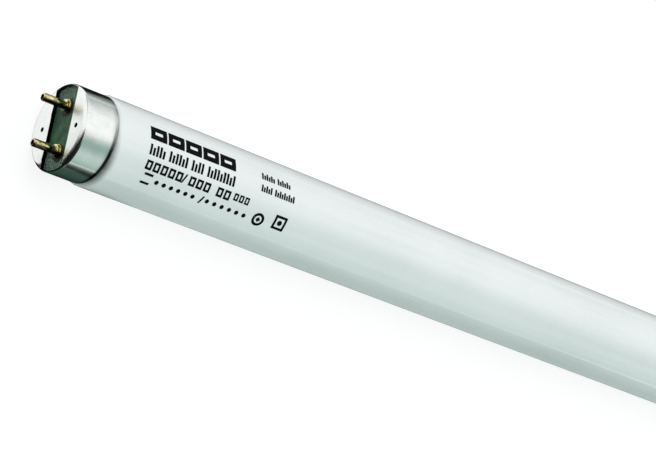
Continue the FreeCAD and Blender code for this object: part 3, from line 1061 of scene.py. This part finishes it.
# studio: angles are round the lamp's axis, from straight up towards +Y
studio = {
    "floorSize": 12.0,
    "floorColour": "#eeeeee",
    "seenFloor": (0.26, 0.26, 0.26, 1.0),  # what the camera sees: this, shaded, and the lift
    "floorLift": 0.82,
    "light": 1.32,
    "mirrored": 1.1,  # the cards' strength
    "spread": 90,  # the tones reach this far to both sides
    "tones": [
        (-90, "#90aaa0"),
        (-72, "#b4c6c0"),
        (-56, "#bccbc6"),
        (-42, "#9db2ab"),
        (-34, "#8fa69f"),
        (-24, "#8fa69f"),
        (-14, "#b4c2bd"),
        (-5, "#e4e8e6"),
        (4, "#f6f7f6"),
        (38, "#f6f7f6"),
        (62, "#dddfdd"),
        (76, "#bfc6c3"),
        (90, "#a3afab"),
    ],
}


def seesBackground(tree):
    # 1 for the rays that should see the plain background, 0 for those that carry light
    path = addNode(tree, "ShaderNodeLightPath")
    either = addNode(
        tree,
        "ShaderNodeMath",
        {"operation": "MAXIMUM"},
        {0: path.outputs["Is Camera Ray"], 1: path.outputs["Is Glossy Ray"]},
    )
    return addNode(
        tree,
        "ShaderNodeMath",
        {"operation": "MAXIMUM"},
        {0: either.outputs[0], 1: path.outputs["Is Transmission Ray"]},
    ).outputs[0]


def skyTones(tree, place):
    # the light's colour by its angle round the lamp's axis, for a point or a direction
    spread = studio["spread"]
    parts = addNode(tree, "ShaderNodeSeparateXYZ", inputs={"Vector": place})
    turn = addNode(
        tree, "ShaderNodeMath", {"operation": "ARCTAN2"}, {0: parts.outputs["Y"], 1: parts.outputs["Z"]}
    )
    share = addNode(
        tree,
        "ShaderNodeMapRange",
        inputs={
            "Value": turn.outputs[0],
            "From Min": -math.radians(spread),
            "From Max": math.radians(spread),
        },
    )
    return addNode(
        tree,
        "ShaderNodeValToRGB",
        inputs={"Fac": share.outputs[0]},
        stops=[((angle + spread) / (2 * spread), hexCode) for angle, hexCode in studio["tones"]],
    ).outputs["Color"]


def makeWorld():
    # soft light from all round, strongest from above, and a plain white backdrop
    world = bpy.data.worlds.new("studio")
    bpy.context.scene.world = world
    world.use_nodes = True
    tree = world.node_tree
    tree.nodes.clear()
    direction = addNode(tree, "ShaderNodeTexCoord").outputs["Generated"]
    soft = addNode(
        tree,
        "ShaderNodeBackground",
        inputs={"Color": skyTones(tree, direction), "Strength": studio["light"]},
    )
    white = addNode(tree, "ShaderNodeBackground", inputs={"Color": (1, 1, 1, 1)})
    either = addNode(
        tree,
        "ShaderNodeMixShader",
        inputs={0: seesBackground(tree), 1: soft.outputs[0], 2: white.outputs[0]},
    )
    addNode(tree, "ShaderNodeOutputWorld", inputs={"Surface": either.outputs[0]})


def makeFloor():
    form = bmesh.new()
    bmesh.ops.create_grid(form, x_segments=1, y_segments=1, size=studio["floorSize"] / 2)
    bmesh.ops.translate(form, verts=form.verts, vec=(0, 0, floorHeight))
    floor = addPiece("floor", form)
    material, tree = emptyMaterial("paperFloor")
    paper = addNode(tree, "ShaderNodeBsdfDiffuse", inputs={"Color": linearColour(studio["floorColour"])})
    faint = addNode(tree, "ShaderNodeBsdfDiffuse", inputs={"Color": studio["seenFloor"]})
    lift = addNode(tree, "ShaderNodeEmission", inputs={"Strength": studio["floorLift"]})
    lifted = addNode(tree, "ShaderNodeAddShader", inputs={0: faint.outputs[0], 1: lift.outputs[0]})
    either = addNode(
        tree,
        "ShaderNodeMixShader",
        inputs={0: seesBackground(tree), 1: paper.outputs[0], 2: lifted.outputs[0]},
    )
    finishMaterial(tree, either)
    floor.data.materials.append(material)


def makeReflected(name, form, tree, material, colour, cover=1.0):
    # a studio card that only the metal and the gloss of the glass can see
    glow = addNode(tree, "ShaderNodeEmission", inputs={"Color": colour, "Strength": studio["mirrored"]})
    clear = addNode(tree, "ShaderNodeBsdfTransparent")
    thinned = addNode(
        tree, "ShaderNodeMixShader", inputs={0: cover, 1: clear.outputs[0], 2: glow.outputs[0]}
    )
    finishMaterial(tree, thinned)
    card = addPiece(name, form)
    card.data.materials.append(material)
    card.visible_camera = False
    card.visible_diffuse = False
    card.visible_shadow = False
    card.visible_transmission = False


screen = {"radius": 1.5, "halfLength": 3.0, "segments": 48}


def makeScreen():
    # a half tunnel over the lamp, white above and grey to the sides
    half = screen["halfLength"]
    form = bmesh.new()
    start = form.verts.new((-half, -screen["radius"], floorHeight))
    end = form.verts.new((half, -screen["radius"], floorHeight))
    line = form.edges.new((start, end))
    bmesh.ops.spin(
        form,
        geom=[start, end, line],
        cent=(0, 0, floorHeight),
        axis=(1, 0, 0),
        angle=-math.pi,
        steps=screen["segments"],
    )
    material, tree = emptyMaterial("screenPaper")
    place = addNode(tree, "ShaderNodeTexCoord").outputs["Object"]
    makeReflected("screen", form, tree, material, skyTones(tree, place))


floorCard = {
    "lift": 0.1 * mm,
    "halfWidth": 400 * mm,
    # places across the lamp in mm, with what is mirrored there by the caps and by the tube
    "capTones": [
        (-400, "#9fa8a4"),
        (-200, "#90988f"),
        (-100, "#717d77"),
        (-65, "#4e6557"),
        (-45, "#3e544b"),
        (-22, "#30443b"),
        (-12, "#1a2621"),
        (0, "#0a0d0b"),
        (50, "#0a0d0b"),
        (76, "#505653"),
        (150, "#939996"),
        (400, "#a9b0ad"),
    ],
    "tubeTones": [
        (-400, "#9fa8a4"),
        (-200, "#7c8680"),
        (-100, "#3a443f"),
        (-65, "#171f1b"),
        (-40, "#151d19"),
        (-28, "#34403a"),
        (-20, "#7b8680"),
        (-13, "#a2aca7"),
        (-8, "#0a0d0b"),
        (0, "#2c3430"),
        (26, "#5a635e"),
        (50, "#79817d"),
        (76, "#858c88"),
        (150, "#9ea4a1"),
        (400, "#a9b0ad"),
    ],
    "changeFrom": 190 * mm,  # the tones change over between these places along the lamp
    "changeTo": 180 * mm,
}


def makeFloorCard():
    # dark where the lamp shades it and paler away from it, with a pale strip close under
    # the glass; it ends at the faces, so that they mirror white floor
    form = bmesh.new()
    half = floorCard["halfWidth"]
    height = floorHeight + floorCard["lift"]
    corners = ((-faceAt, -half), (faceAt, -half), (faceAt, half), (-faceAt, half))
    form.faces.new([form.verts.new((x, y, height)) for x, y in corners])
    material, tree = emptyMaterial("floorCard")
    place = addNode(tree, "ShaderNodeTexCoord").outputs["Object"]
    parts = addNode(tree, "ShaderNodeSeparateXYZ", inputs={"Vector": place})
    share = addNode(
        tree,
        "ShaderNodeMapRange",
        inputs={"Value": parts.outputs["Y"], "From Min": -half, "From Max": half},
    )
    capTones, tubeTones = [
        addNode(
            tree,
            "ShaderNodeValToRGB",
            inputs={"Fac": share.outputs[0]},
            stops=[((y * mm + half) / (2 * half), hexCode) for y, hexCode in floorCard[name]],
        )
        for name in ("capTones", "tubeTones")
    ]
    fromMiddle = addNode(tree, "ShaderNodeMath", {"operation": "ABSOLUTE"}, {0: parts.outputs["X"]})
    underTube = addNode(
        tree,
        "ShaderNodeMapRange",
        inputs={
            "Value": fromMiddle.outputs[0],
            "From Min": floorCard["changeFrom"],
            "From Max": floorCard["changeTo"],
        },
    )
    tones = addNode(
        tree,
        "ShaderNodeMix",
        {"data_type": "RGBA"},
        {
            "Factor": underTube.outputs[0],
            colourA: capTones.outputs["Color"],
            colourB: tubeTones.outputs["Color"],
        },
    )
    makeReflected("floorCard", form, tree, material, tones.outputs[colourResult])


flag = {
    "radius": 200 * mm,
    "height": 420 * mm,
    "solidTo": 220 * mm,  # up to this height the scrim is solid, and above it thins out
    "from": -10,  # degrees from -X towards -Y
    "to": 120,
    "thins": 16,  # over this many degrees at both ends
    "segments": 24,
    "tone": "#0a0d0b",
}
# a dark card on the floor: the scrim's foot, and right in front of the face painted shade of the floor
flagFootAndShade = {
    "lift": 0.2 * mm,
    "near": 9 * mm,  # its start across the lamp, right in front of the face
    "far": -3 * mm,  # and beyond the strip of floor that the face mirrors
    "strip": 20 * mm,
    "reach": 200 * mm,
}


def makeFlag():
    # a dark curved scrim round the photographed end, which the cap's rounded edge mirrors
    # as a dark line; it thins out at its top and its ends
    form = bmesh.new()
    first = math.radians(flag["from"])
    last = math.radians(flag["to"])
    middle = Vector((-faceAt, 0, floorHeight))
    foot = middle - Vector((math.cos(first), math.sin(first), 0)) * flag["radius"]
    low = form.verts.new(foot)
    high = form.verts.new(foot + Vector((0, 0, flag["height"])))
    line = form.edges.new((low, high))
    bmesh.ops.spin(
        form,
        geom=[low, high, line],
        cent=middle,
        axis=(0, 0, 1),
        angle=last - first,
        steps=flag["segments"],
    )
    material, tree = emptyMaterial("flagScrim")
    place = addNode(tree, "ShaderNodeTexCoord").outputs["Object"]
    offset = addNode(tree, "ShaderNodeVectorMath", {"operation": "SUBTRACT"}, {0: middle, 1: place})
    parts = addNode(tree, "ShaderNodeSeparateXYZ", inputs={"Vector": offset.outputs[0]})
    turn = addNode(
        tree, "ShaderNodeMath", {"operation": "ARCTAN2"}, {0: parts.outputs["Y"], 1: parts.outputs["X"]}
    )
    thins = math.radians(flag["thins"])
    cover = 1.0
    for value, clearAt, solidAt in (
        (turn.outputs[0], first, first + thins),
        (turn.outputs[0], last, last - thins),
        (parts.outputs["Z"], -flag["height"], -flag["solidTo"]),
    ):
        edge = addNode(
            tree,
            "ShaderNodeMapRange",
            {"interpolation_type": "SMOOTHSTEP"},
            {"Value": value, "From Min": clearAt, "From Max": solidAt},
        )
        cover = addNode(
            tree, "ShaderNodeMath", {"operation": "MULTIPLY"}, {0: edge.outputs[0], 1: cover}
        ).outputs[0]
    makeReflected("flag", form, tree, material, linearColour(flag["tone"]), cover)


def makeFlagFootAndShade():
    # the scrim's dark foot on the floor in front of the face, seen only in reflections, with a strip right
    # in front of the face that is painted shade of the floor
    form = bmesh.new()
    strip = -faceAt - flagFootAndShade["strip"]
    outer = -faceAt - flagFootAndShade["reach"]
    height = floorHeight + flagFootAndShade["lift"]
    corners = (
        (-faceAt, -flagFootAndShade["near"]),
        (strip, -flagFootAndShade["near"]),
        (strip, -flagFootAndShade["far"]),
        (outer, -flagFootAndShade["far"]),
        (outer, -flagFootAndShade["reach"]),
        (-faceAt, -flagFootAndShade["reach"]),
    )
    form.faces.new([form.verts.new((x, y, height)) for x, y in corners])
    material, tree = emptyMaterial("flagFootAndShade")
    makeReflected("flagFootAndShade", form, tree, material, linearColour(flag["tone"]))


view = {
    # solved from the pins and the tube in the photograph
    "focalLength": 157.17,
    "place": (-0.62244, -0.18503, 0.62524),
    "angles": (4.0328, -40.3321, 14.1894),
}


def makeCamera():
    lens = bpy.data.cameras.new("camera")
    lens.lens = view["focalLength"]
    camera = bpy.data.objects.new("camera", lens)
    bpy.context.scene.collection.objects.link(camera)
    camera.location = view["place"]
    camera.rotation_euler = [math.radians(angle) for angle in view["angles"]]
    bpy.context.scene.camera = camera


makeWorld()
makeFloor()
makeScreen()
makeFloorCard()
makeFlag()
makeFlagFootAndShade()
makeCamera()
bpy.context.scene.view_settings.view_transform = "Standard"
print("studio set up")
